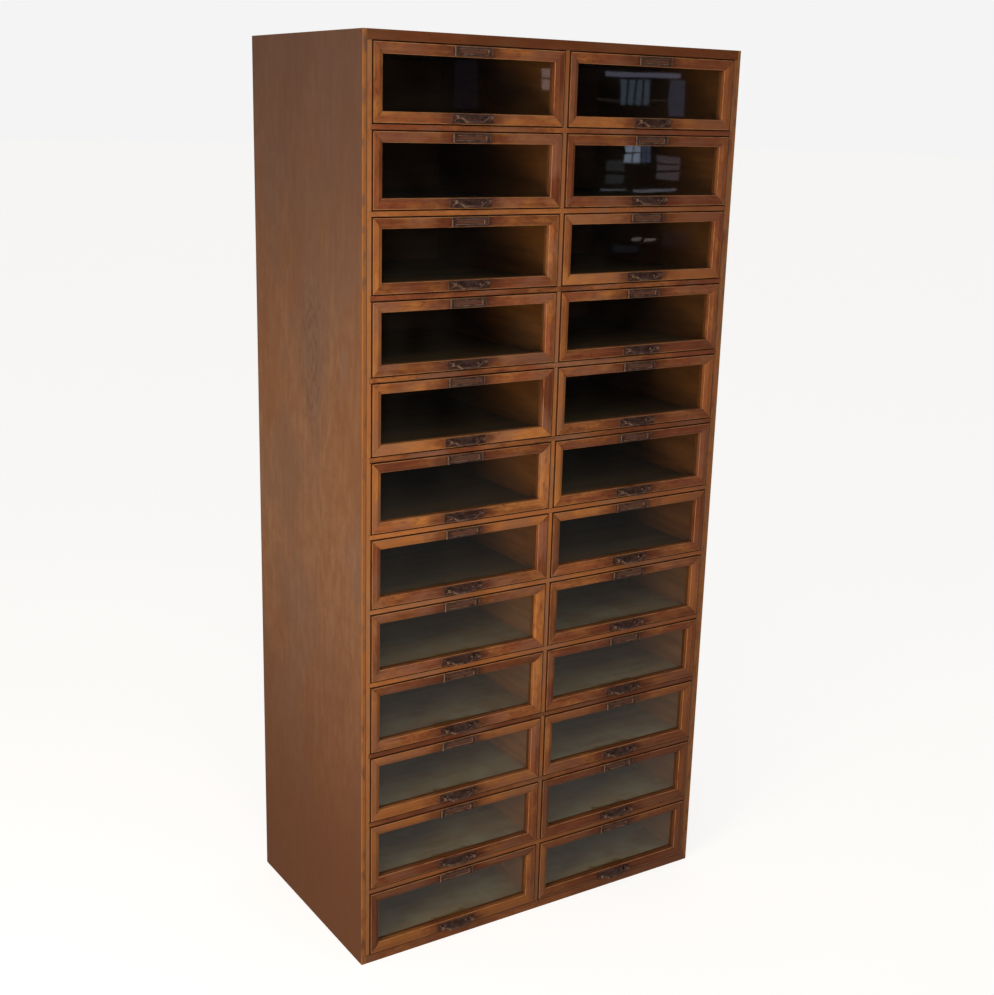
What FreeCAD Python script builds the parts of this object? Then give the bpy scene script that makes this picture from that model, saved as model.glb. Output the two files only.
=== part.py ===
"""Haberdashery cabinet: two columns of glass-fronted drawers in a thin-railed oak carcass.

Units are millimetres. X runs from left to right, Y from the front to the back, Z up.
The origin is on the floor, in the middle of the carcass. Row 1 is the top row.
"""

import FreeCAD, Part
import math
import os
from FreeCAD import Vector

# ---------------------------------------------------------------- driving dimensions
# Carcass
cabinet_height = 1800.0
cabinet_width = 848.0
cabinet_depth = 470.0
side_thickness = 8.0
top_thickness = 18.0
bottom_thickness = 18.0
back_thickness = 6.0
post_width = 10.0
front_post_depth = 30.0
rear_post_depth = 30.0
partition_thickness = 10.0
edge_radius = 2.0

# Grid of drawers
row_count = 12
rail_height = 10.0
rail_housing = 3.0

# Runners, guides and stops
runner_ledge = 12.0
guide_height = 12.0
stop_width = 40.0
stop_height = 5.0
stop_clearance = 0.3

# Drawer front: four mitred members round a pane
front_gap = 1.25
front_proud = 2.0
front_thickness = 22.0
member_width = 20.0
bevel_width = 8.0
bevel_depth = 3.5
rebate_width = 6.0
glass_thickness = 2.0
bead_depth = 8.0
glass_clearance = 0.5

# Drawer box
rear_clearance = 20.0
box_side_clearance = 1.5
box_top_clearance = 8.0
running_clearance = 0.3
board_thickness = 9.0
floor_thickness = 4.0
floor_lift = 7.0
groove_depth = 4.5
back_drop = 6.0

# Card frame on the top member
card_width = 80.0
card_height = 17.0
card_thickness = 1.5
card_lip = 2.2
card_lip_width = 3.0
card_window_width = 60.0
card_window_height = 7.0
card_edge_distance = 1.6

# Pull on the bottom member
plate_width = 88.0
plate_height = 17.0
plate_thickness = 1.5
plate_edge_distance = 2.4
ear_inset = 5.0
ear_width = 6.5
ear_root_height = 12.0
ear_nose_radius = 4.0
nose_facets = 3
pivot_standoff = 9.0
pivot_above_plate_centre = 2.5
bail_bar = 4.0
bail_drop = 8.0
bail_bar_length = 34.0
bail_end_clearance = 0.4
pin_length = 4.5
pin_clearance = 0.06
section_sides = 8

# ---------------------------------------------------------------- derived places
half_width = cabinet_width / 2.0
front_y = -cabinet_depth / 2.0
back_y = cabinet_depth / 2.0
back_face_y = back_y - back_thickness
rear_post_y = back_face_y - rear_post_depth
rail_back_y = front_y + front_post_depth
panel_x = half_width - side_thickness
post_x = panel_x - post_width
partition_x = partition_thickness / 2.0

opening_width = post_x - partition_x
column_x = {"left": -(partition_x + opening_width / 2.0), "right": partition_x + opening_width / 2.0}
inner_height = cabinet_height - top_thickness - bottom_thickness
opening_height = (inner_height - (row_count - 1) * rail_height) / row_count
row_pitch = opening_height + rail_height

front_width = opening_width - 2.0 * front_gap
front_height = opening_height - 2.0 * front_gap
front_face_y = front_y - front_proud
front_back_y = front_face_y + front_thickness
rebate_depth = glass_thickness + bead_depth
box_width = opening_width - 2.0 * box_side_clearance
box_back_y = back_face_y - rear_clearance
box_height = opening_height - running_clearance - box_top_clearance
floor_top = running_clearance + floor_lift + floor_thickness

plate_centre_z = front_gap + plate_edge_distance + plate_height / 2.0
pivot_z = plate_centre_z + pivot_above_plate_centre
pivot_y = front_face_y - plate_thickness - pivot_standoff
ear_outer_x = plate_width / 2.0 - ear_inset
ear_inner_x = ear_outer_x - ear_width


def row_bottom(row):
    """Height of the running surface under a row's drawers; row 1 is the top row."""
    return bottom_thickness + (row_count - row) * row_pitch


def box(x0, x1, y0, y1, z0, z1):
    """A block between two corners."""
    return Part.makeBox(x1 - x0, y1 - y0, z1 - z0, Vector(x0, y0, z0))


def prism(corners, along):
    """A closed outline of corner points, extruded along a vector."""
    outline = [Vector(*corner) for corner in corners]
    return Part.Face(Part.makePolygon(outline + outline[:1])).extrude(Vector(*along))


def mirrored(shape):
    """The same piece on the other side of the middle plane."""
    return shape.mirror(Vector(0, 0, 0), Vector(1, 0, 0))


def pivot_section(x, flat_distance):
    """A regular outline across the bail's axis, its flats at flat_distance from the axis."""
    reach = flat_distance / math.cos(math.pi / section_sides)
    turns = [(2 * index + 1) * math.pi / section_sides for index in range(section_sides + 1)]
    return Part.makePolygon(
        [Vector(x, pivot_y + reach * math.cos(turn), pivot_z + reach * math.sin(turn)) for turn in turns]
    )


# ---------------------------------------------------------------- carcass
def side_panel():
    """The left side: a tall board whose front outer arris is rounded."""
    board = box(-half_width, -panel_x, front_y, back_y, 0, cabinet_height)
    arris = [
        edge
        for edge in board.Edges
        if edge.BoundBox.ZLength > cabinet_height / 2.0
        and edge.BoundBox.XMax < -half_width + side_thickness / 2.0
        and edge.BoundBox.YMax < 0
    ]
    return board.makeFillet(edge_radius, arris)


def level_board(z0, z1):
    """The top or the bottom board, between the sides and in front of the back panel."""
    return box(-panel_x, panel_x, front_y, back_face_y, z0, z1)


def rail_levels():
    """Undersides of the rails, from the top one down."""
    return [row_bottom(row) - rail_height for row in range(1, row_count)]


def front_post():
    """The left front post, housed for the end of each rail."""
    post = box(-panel_x, -post_x, front_y, rail_back_y, bottom_thickness, cabinet_height - top_thickness)
    housings = [
        box(-post_x - rail_housing, -post_x, front_y, rail_back_y, z, z + rail_height) for z in rail_levels()
    ]
    return post.cut(Part.makeCompound(housings))


def rear_post():
    """The left rear post, behind the ends of the side runners."""
    return box(-panel_x, -post_x, rear_post_y, back_face_y, bottom_thickness, cabinet_height - top_thickness)


def halving_depth():
    """How far the partition and a rail are notched into each other."""
    return front_post_depth / 2.0


def centre_partition():
    """The upright between the columns, notched at the front so that the rails cross it."""
    board = box(
        -partition_x, partition_x, front_y, back_face_y, bottom_thickness, cabinet_height - top_thickness
    )
    notches = [
        box(-partition_x, partition_x, front_y, front_y + halving_depth(), z, z + rail_height)
        for z in rail_levels()
    ]
    return board.cut(Part.makeCompound(notches))


def drawer_rail(z):
    """A rail over the whole front, notched at the back where the partition passes."""
    reach = post_x + rail_housing
    rail = box(-reach, reach, front_y, rail_back_y, z, z + rail_height)
    notch = box(-partition_x, partition_x, front_y + halving_depth(), rail_back_y, z, z + rail_height)
    return rail.cut(notch)


def side_runner(z):
    """A left runner: a ledge under the drawer's side and an upstand that guides it."""
    guide_top = z + rail_height + guide_height
    ledge_x = -post_x + runner_ledge
    corners = [
        (-panel_x, rail_back_y, z),
        (ledge_x, rail_back_y, z),
        (ledge_x, rail_back_y, z + rail_height),
        (-post_x, rail_back_y, z + rail_height),
        (-post_x, rail_back_y, guide_top),
        (-panel_x, rail_back_y, guide_top),
    ]
    return prism(corners, (0, rear_post_y - rail_back_y, 0))


def bottom_guide():
    """The left guide of the bottom row, whose drawers run on the bottom board itself."""
    top = bottom_thickness + guide_height
    return box(-panel_x, -post_x, rail_back_y, rear_post_y, bottom_thickness, top)


def centre_runner(z):
    """A runner on the left face of the partition."""
    return box(-partition_x - runner_ledge, -partition_x, rail_back_y, back_face_y, z, z + rail_height)


def drawer_stop(column, row):
    """A block on the rail that the back of the drawer front meets when the drawer is shut."""
    x = column_x[column]
    z = row_bottom(row)
    y0 = front_back_y + stop_clearance
    return box(x - stop_width / 2.0, x + stop_width / 2.0, y0, rail_back_y, z, z + stop_height)


# ---------------------------------------------------------------- drawer, at x = 0 and row bottom z = 0
def front_member(length):
    """A bottom member of the front: moulded, rebated and mitred, its outer edge at z = 0."""
    bevel_start = member_width - bevel_width
    shelf = member_width - rebate_width
    corners = [
        (0, front_back_y, 0),
        (0, front_face_y, 0),
        (0, front_face_y, bevel_start),
        (0, front_face_y + bevel_depth, member_width),
        (0, front_back_y - rebate_depth, member_width),
        (0, front_back_y - rebate_depth, shelf),
        (0, front_back_y, shelf),
    ]
    moulding = prism(corners, (length, 0, 0))
    moulding.translate(Vector(-length / 2.0, 0, 0))
    return moulding.common(mitre_block(length, member_width, front_face_y, front_back_y))


def mitre_block(length, width, y0, y1):
    """A block whose ends lean in at 45 degrees, from its full length at z = 0."""
    corners = [
        (-length / 2.0, y0, 0),
        (length / 2.0, y0, 0),
        (length / 2.0 - width, y0, width),
        (-length / 2.0 + width, y0, width),
    ]
    return prism(corners, (0, y1 - y0, 0))


def ring_of_four(width, height, centre_z, make):
    """Four members round an opening: make(length) gives the bottom one, its outer edge at z = 0."""
    pieces = []
    for quarter in range(4):
        upright = quarter % 2 == 1
        piece = make(height if upright else width)
        piece.translate(Vector(0, 0, -(width if upright else height) / 2.0))
        piece.rotate(Vector(0, 0, 0), Vector(0, 1, 0), 90.0 * quarter)
        piece.translate(Vector(0, 0, centre_z))
        pieces.append(piece)
    return pieces


def bead(length):
    """A glazing bead, mitred, its outer edge at z = 0 against the rebate."""
    return mitre_block(length, rebate_width, front_back_y - bead_depth, front_back_y)


def box_side():
    """The left side board, butted and pinned to the front and grooved for the floor."""
    outer = -box_width / 2.0
    inner = outer + board_thickness
    y0 = front_back_y
    top = running_clearance + box_height
    groove_low = running_clearance + floor_lift
    corners = [
        (outer, y0, running_clearance),
        (inner, y0, running_clearance),
        (inner, y0, groove_low),
        (inner - groove_depth, y0, groove_low),
        (inner - groove_depth, y0, floor_top),
        (inner, y0, floor_top),
        (inner, y0, top),
        (outer, y0, top),
    ]
    return prism(corners, (0, box_back_y - y0, 0))


def box_floor():
    """The thin floor, in the grooves of the sides and, between the mitres, of the bottom member."""
    half = box_width / 2.0 - board_thickness + groove_depth
    tongue_half = front_width / 2.0 - (floor_top - front_gap)
    tongue_y = front_back_y - groove_depth
    z = floor_top - floor_thickness
    corners = [
        (-half, front_back_y, z),
        (-tongue_half, front_back_y, z),
        (-tongue_half, tongue_y, z),
        (tongue_half, tongue_y, z),
        (tongue_half, front_back_y, z),
        (half, front_back_y, z),
        (half, box_back_y, z),
        (-half, box_back_y, z),
    ]
    return prism(corners, (0, 0, floor_thickness))


def box_back():
    """The back board, between the sides and on the floor."""
    half = box_width / 2.0 - board_thickness
    top = running_clearance + box_height - back_drop
    return box(-half, half, box_back_y - board_thickness, box_back_y, floor_top, top)


def glass_pane():
    """The pane, in the rebate in front of the beads."""
    half = front_width / 2.0 - member_width + rebate_width - glass_clearance
    low = front_gap + member_width - rebate_width + glass_clearance
    y0 = front_back_y - rebate_depth
    return box(-half, half, y0, y0 + glass_thickness, low, opening_height - low)


def card_frame():
    """The brass card frame: a flat ring with a window and a raised lip at each end."""
    half = card_width / 2.0
    top = opening_height - front_gap - card_edge_distance
    low = top - card_height
    sheet_y = front_face_y - card_thickness
    window_low = low + (card_height - card_window_height) / 2.0
    ring = box(-half, half, sheet_y, front_face_y, low, top)
    lip = box(-half, -half + card_lip_width, sheet_y - card_lip, sheet_y, low, top)
    window = box(
        -card_window_width / 2.0,
        card_window_width / 2.0,
        sheet_y,
        front_face_y,
        window_low,
        window_low + card_window_height,
    )
    return ring.fuse([lip, mirrored(lip)]).cut(window).removeSplitter()


def pull_ear():
    """The left ear: a tapered bracket with a blind hole for the bail's pin."""
    plate_y = front_face_y - plate_thickness
    nose = [
        (-ear_outer_x, pivot_y - ear_nose_radius * math.cos(turn), pivot_z + ear_nose_radius * math.sin(turn))
        for turn in [math.pi * (step / nose_facets - 0.5) for step in range(nose_facets + 1)]
    ]
    corners = [
        (-ear_outer_x, plate_y, plate_centre_z + ear_root_height / 2.0),
        (-ear_outer_x, plate_y, plate_centre_z - ear_root_height / 2.0),
    ] + nose
    ear = prism(corners, (ear_width, 0, 0))
    pin_corner = bail_bar / 2.0 / math.cos(math.pi / section_sides)
    mouth = Part.Face(pivot_section(-ear_inner_x, pin_corner + pin_clearance))
    return ear.cut(mouth.extrude(Vector(-pin_length - bail_end_clearance, 0, 0)))


def pull_plate():
    """The cast pull plate with an ear near each end."""
    half = plate_width / 2.0
    low = plate_centre_z - plate_height / 2.0
    plate = box(-half, half, front_face_y - plate_thickness, front_face_y, low, low + plate_height)
    ear = pull_ear()
    return plate.fuse([ear, mirrored(ear)]).removeSplitter()


def bail():
    """The bail: an eight-sided bar bent to a dropped loop, its ends turned out as the hinge pins."""
    pin_end = ear_inner_x + pin_length - bail_end_clearance
    elbow = ear_inner_x - bail_end_clearance - bail_bar / 2.0
    left_half = [(-pin_end, 0.0), (-elbow, 0.0), (-bail_bar_length / 2.0, -bail_drop)]
    right_half = [(-x, z) for x, z in reversed(left_half)]
    route = Part.makePolygon([Vector(x, pivot_y, pivot_z + z) for x, z in left_half + right_half])
    mitred_bends = 1
    return route.makePipeShell([pivot_section(-pin_end, bail_bar / 2.0)], True, True, mitred_bends)


def drawer_pieces():
    """Every fixed piece of one drawer, at x = 0 and with its row bottom at z = 0."""
    centre_z = opening_height / 2.0
    floor = box_floor()
    members = ring_of_four(front_width, front_height, centre_z, front_member)
    members[0] = members[0].cut(floor)
    inset = 2.0 * (member_width - rebate_width)
    beads = ring_of_four(front_width - inset, front_height - inset, centre_z, bead)
    side = box_side()
    boards = [side, mirrored(side), floor, box_back()]
    return members + beads + boards + [glass_pane(), card_frame(), pull_plate()]


# ---------------------------------------------------------------- assembly
def placed(shapes, column, row):
    """Copies of a drawer's pieces, moved to their place in the grid."""
    move = Vector(column_x[column], 0, row_bottom(row))
    copies = [shape.copy() for shape in shapes]
    for shape in copies:
        shape.translate(move)
    return copies


def carcass_nodes():
    """The pieces that stay put, by node name."""
    side = side_panel()
    post = front_post()
    rear = rear_post()
    runners = [side_runner(z) for z in rail_levels()] + [bottom_guide()]
    inner_runners = [centre_runner(z) for z in rail_levels()]
    rows = range(1, row_count + 1)
    return {
        "side_left": [side],
        "side_right": [mirrored(side)],
        "front_posts": [post, mirrored(post)],
        "rear_posts": [rear, mirrored(rear)],
        "top_board": [level_board(cabinet_height - top_thickness, cabinet_height)],
        "bottom_board": [level_board(0, bottom_thickness)],
        "back_panel": [box(-panel_x, panel_x, back_face_y, back_y, 0, cabinet_height)],
        "centre_partition": [centre_partition()],
        "drawer_rails": [drawer_rail(z) for z in rail_levels()],
        "side_runners": runners + [mirrored(runner) for runner in runners],
        "centre_runners": inner_runners + [mirrored(runner) for runner in inner_runners],
        "drawer_stops": [drawer_stop(column, row) for row in rows for column in column_x],
    }


def drawer_nodes():
    """One node for each drawer and one for its bail, by node name."""
    fixed = drawer_pieces()
    loop = [bail()]
    nodes = {}
    for row in range(1, row_count + 1):
        for column in column_x:
            place = "r%02d_%s" % (row, column)
            nodes["drawer_" + place] = placed(fixed, column, row)
            nodes["handle_" + place] = placed(loop, column, row)
    return nodes


def main():
    """Write one STEP file for each node."""
    os.makedirs("parts", exist_ok=True)
    nodes = {**carcass_nodes(), **drawer_nodes()}
    for name, pieces in nodes.items():
        shape = pieces[0] if len(pieces) == 1 else Part.makeCompound(pieces)
        shape.exportStep("parts/%s.step" % name)
        print(name, len(shape.Solids), "solids", round(shape.Volume / 1000.0, 1), "cm3")


main()
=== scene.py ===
"""Looks of a tall haberdashery cabinet, dressed round its packed construction model.

Two columns of twelve glass-fronted drawers stand in a thin-railed oak carcass. Each sub-assembly is
a class that holds its sizes in millimetres, builds its pieces where they belong and gives them their
finish. The frame gives every place: a drawer's parts are set from its own box and the rails' face.
"""

import logging
import math
import random
from abc import ABC, abstractmethod
from collections.abc import Iterable, Iterator, Sequence
from dataclasses import dataclass
from enum import Enum
from functools import cached_property, lru_cache

import bmesh
import bpy
from bmesh.types import BMEdge, BMesh, BMFace, BMVert
from bpy.types import ID, Material, Node, NodeSocket, Object, World
from mathutils import Matrix, Vector


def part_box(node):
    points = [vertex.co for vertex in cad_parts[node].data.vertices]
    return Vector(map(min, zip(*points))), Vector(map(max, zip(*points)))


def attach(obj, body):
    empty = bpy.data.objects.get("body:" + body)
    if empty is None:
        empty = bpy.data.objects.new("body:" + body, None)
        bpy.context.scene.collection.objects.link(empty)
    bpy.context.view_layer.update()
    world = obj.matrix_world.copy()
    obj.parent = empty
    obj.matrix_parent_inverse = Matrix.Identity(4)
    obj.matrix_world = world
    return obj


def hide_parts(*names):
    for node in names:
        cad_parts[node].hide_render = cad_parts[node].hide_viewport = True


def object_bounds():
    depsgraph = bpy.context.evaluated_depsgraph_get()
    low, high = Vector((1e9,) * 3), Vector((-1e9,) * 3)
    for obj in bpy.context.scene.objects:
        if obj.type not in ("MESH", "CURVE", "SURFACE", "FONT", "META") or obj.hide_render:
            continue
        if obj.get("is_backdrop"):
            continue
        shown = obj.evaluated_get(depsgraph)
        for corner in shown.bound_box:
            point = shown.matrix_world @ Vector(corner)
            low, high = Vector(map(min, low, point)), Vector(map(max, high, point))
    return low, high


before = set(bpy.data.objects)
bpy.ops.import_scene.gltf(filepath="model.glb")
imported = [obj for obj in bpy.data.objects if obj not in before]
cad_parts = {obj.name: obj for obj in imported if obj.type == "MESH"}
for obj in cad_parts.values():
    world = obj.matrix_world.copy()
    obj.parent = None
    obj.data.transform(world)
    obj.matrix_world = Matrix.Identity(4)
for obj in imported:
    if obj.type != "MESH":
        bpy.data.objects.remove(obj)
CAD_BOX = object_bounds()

log = logging.getLogger("haberdashery_cabinet")

Triple = tuple[float, float, float]

MM = 0.001
COLUMNS = ("left", "right")
ROWS = range(1, 13)

# Which way things lie or look, along the cabinet's own axes.
LEFT, RIGHT = Vector((-1, 0, 0)), Vector((1, 0, 0))
FORWARDS = Vector((0, -1, 0))
DOWN, UP = Vector((0, 0, -1)), Vector((0, 0, 1))
BOTH_SIDES = (-1, 1)
# The least cosine between a face's own way and another: it looks that way squarely, or leans so.
SQUARELY, LEANING = 0.9, 0.3
# How a face in a gap between parts is marked, to be darkened with painted shade and the grime there, where 1
# is a face that is rubbed bare.
GAP_SHADE_AND_GRIME = -1.0

# A Mix node's sockets when it mixes colours: their names are shared, so they go by number.
MIX_FACTOR, MIX_A, MIX_B, MIX_RESULT = 0, 6, 7, 2

# What an input can be linked to: an output socket, or a node, which gives its first output.
Signal = Node | NodeSocket


class Slot(Enum):
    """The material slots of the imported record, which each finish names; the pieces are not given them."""

    OAK_SHOW = "oak_show"
    OAK_INNER = "oak_inner"
    OAK_FRONT = "oak_front"
    PLYWOOD = "plywood"
    DRAWER_WOOD = "drawer_wood"
    PANE_GLASS = "pane_glass"
    OLD_BRASS = "old_brass"


class Run(Enum):
    """Which way a board's grain runs in the cabinet, as the axis that it follows."""

    ACROSS = Vector((1, 0, 0))
    BACKWARDS = Vector((0, 1, 0))
    UPRIGHT = Vector((0, 0, 1))

    def to_stock(self) -> Matrix:
        """Return the turn that lays this direction along the stock's own X axis."""
        return self.value.rotation_difference(RIGHT).to_matrix().to_4x4()


def turned(degrees: float, axis: str) -> Matrix:
    """Return a turn about one of the cabinet's axes."""
    return Matrix.Rotation(math.radians(degrees), 4, axis)


def only(kind: type, parts: Iterable) -> list:
    """Return the parts of one kind, such as the faces, out of what an operator gives back."""
    return [part for part in parts if isinstance(part, kind)]


def put(name: str, data: ID) -> Object:
    """Put a new object into the scene.

    Args:
        name: Its name.
        data: Its mesh, lamp or camera.

    Returns:
        The new object, at the origin.
    """
    made = bpy.data.objects.new(name, data)
    bpy.context.scene.collection.objects.link(made)
    return made


def put_mesh(name: str, bm: BMesh, material: Material) -> Object:
    """Put a finished mesh into the scene.

    Args:
        name: Its name.
        bm: The mesh under way, which is used up.
        material: What it is made of.

    Returns:
        The new object, with its place in its mesh.
    """
    mesh = bpy.data.meshes.new(name)
    bm.to_mesh(mesh)
    bm.free()
    mesh.materials.append(material)
    return put(name, mesh)


# ------------------------------------------------------------------------------ finishes
def colour(code: str) -> tuple[float, float, float, float]:
    """Turn an sRGB hex code into Blender's linear colour.

    Args:
        code: Six hex digits after a hash sign.

    Returns:
        The linear red, green and blue, and an alpha of 1.
    """
    channels = [int(code[start : start + 2], 16) / 255 for start in (1, 3, 5)]
    linear = [c / 12.92 if c <= 0.04045 else ((c + 0.055) / 1.055) ** 2.4 for c in channels]
    return (*linear, 1.0)


class Recipe:
    """A material or a world under way: its nodes, and patterns sized in millimetres of real stock."""

    def __init__(self, owner: Material | World) -> None:
        """Start without the nodes that a material or a world comes with.

        Args:
            owner: The new material or world.
        """
        owner.use_nodes = True
        self.owner = owner
        self.tree = owner.node_tree
        self.tree.nodes.clear()

    @classmethod
    def named(cls, name: str) -> "Recipe":
        """Start a new material."""
        return cls(bpy.data.materials.new(name))

    def node(self, kind: str, inputs: dict | None = None, **settings: object) -> Node:
        """Add one node, with its settings, and set or link its inputs.

        Args:
            kind: The node's type name, after "ShaderNode".
            inputs: Values, hex codes or signals to link, by the input's name or number.
            settings: The node's own properties.

        Returns:
            The new node.
        """
        node = self.tree.nodes.new("ShaderNode" + kind)
        for name, value in settings.items():
            setattr(node, name, value)
        for key, value in (inputs or {}).items():
            if isinstance(value, Node):
                value = value.outputs[0]
            if isinstance(value, NodeSocket):
                self.tree.links.new(value, node.inputs[key])
            else:
                node.inputs[key].default_value = colour(value) if isinstance(value, str) else value
        return node

    @cached_property
    def stock(self) -> NodeSocket:
        """A point's place in the stock that it was cut from, in millimetres."""
        return self.node("Attribute", attribute_name="board").outputs["Vector"]

    @cached_property
    def tone(self) -> NodeSocket:
        """How a board took the stain, from -1, pale, to 1, dark."""
        return self.node("Attribute", attribute_name="tone").outputs["Fac"]

    @cached_property
    def wear_and_painted_light(self) -> NodeSocket:
        """How far a face is rubbed, or lit by a painted highlight, up to 1, or darkened by painted shade and
        grime, down to -1.
        """
        return self.node("Attribute", attribute_name="wear_and_painted_light").outputs["Fac"]

    @cached_property
    def in_cabinet(self) -> NodeSocket:
        """A point's place in the cabinet's frame, in metres."""
        return self.node("TexCoord").outputs["Object"]

    def near(self, place: Signal, centre: Sequence[float], reach: Sequence[float]) -> NodeSocket:
        """Return how far a place is from a centre, counted in reaches along each axis.

        Args:
            place: The place.
            centre: The centre, in the place's own unit.
            reach: What counts as 1 along each axis.

        Returns:
            The distance's socket.
        """
        offset = self.node("VectorMath", {0: place, 1: centre}, operation="SUBTRACT")
        reaches = self.node("VectorMath", {0: offset, 1: reach}, operation="DIVIDE")
        return self.node("VectorMath", {0: reaches}, operation="LENGTH").outputs["Value"]

    def between(self, value: Signal, low: float, high: float, top: float = 1.0) -> Node:
        """Return a mask that rises from 0 at low to top at high, or falls if low is the larger."""
        inputs = {"Value": value, "From Min": low, "From Max": high, "To Max": top}
        return self.node("MapRange", inputs, interpolation_type="SMOOTHSTEP")

    def patches(
        self, size: Sequence[float], low: float, high: float, top: float = 1.0, detail: float = 3.0
    ) -> Node:
        """Return a mask of soft patches.

        Args:
            size: The patches' size along and across the grain and through it, in millimetres.
            low: The noise level where the mask starts.
            high: The noise level where it is full.
            top: The mask's full strength.
            detail: How many finer layers the noise has.

        Returns:
            The mask's node.
        """
        cells = self.node("VectorMath", {0: self.stock, 1: size}, operation="DIVIDE")
        inputs = {"Vector": cells, "Scale": 1.0, "Detail": detail, "Roughness": 0.55}
        return self.between(self.node("TexNoise", inputs), low, high, top)

    def layered(self, base: Signal | str, *coats: tuple[Signal | str, Signal]) -> NodeSocket:
        """Lay coats of colour over a base in turn, each where its own mask says.

        Args:
            base: The colour underneath, or its hex code.
            coats: Each coat's colour or hex code, and its mask.

        Returns:
            The colour that shows.
        """
        for tone, mask in coats:
            layers = {MIX_FACTOR: mask, MIX_A: base, MIX_B: tone}
            base = self.node("Mix", layers, data_type="RGBA").outputs[MIX_RESULT]
        return base

    def finished(self, kind: str, inputs: dict) -> Material | World:
        """Add the last shader and lead it to the output.

        Args:
            kind: The shader's type name, after "ShaderNode".
            inputs: Its inputs, as node() takes them.

        Returns:
            The material or world.
        """
        output = "OutputWorld" if isinstance(self.owner, World) else "OutputMaterial"
        self.node(output, {"Surface": self.node(kind, inputs)})
        return self.owner


@dataclass(frozen=True)
class PaintedShading:
    """Painted light and shade: a tone laid on little by little along one axis of the cabinet, where the light
    falls stronger or weaker.

    It sets in at start and is full at full, both in metres, where it covers top of the wood.
    """

    tone: str
    axis: str
    start: float
    full: float
    top: float


@dataclass(frozen=True)
class Flame:
    """Nested rings in a board's figure, where it was cut near a branch; sizes in metres."""

    centre: Triple
    reach: Triple
    rings: float = 3.5
    strength: float = 0.4


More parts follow.
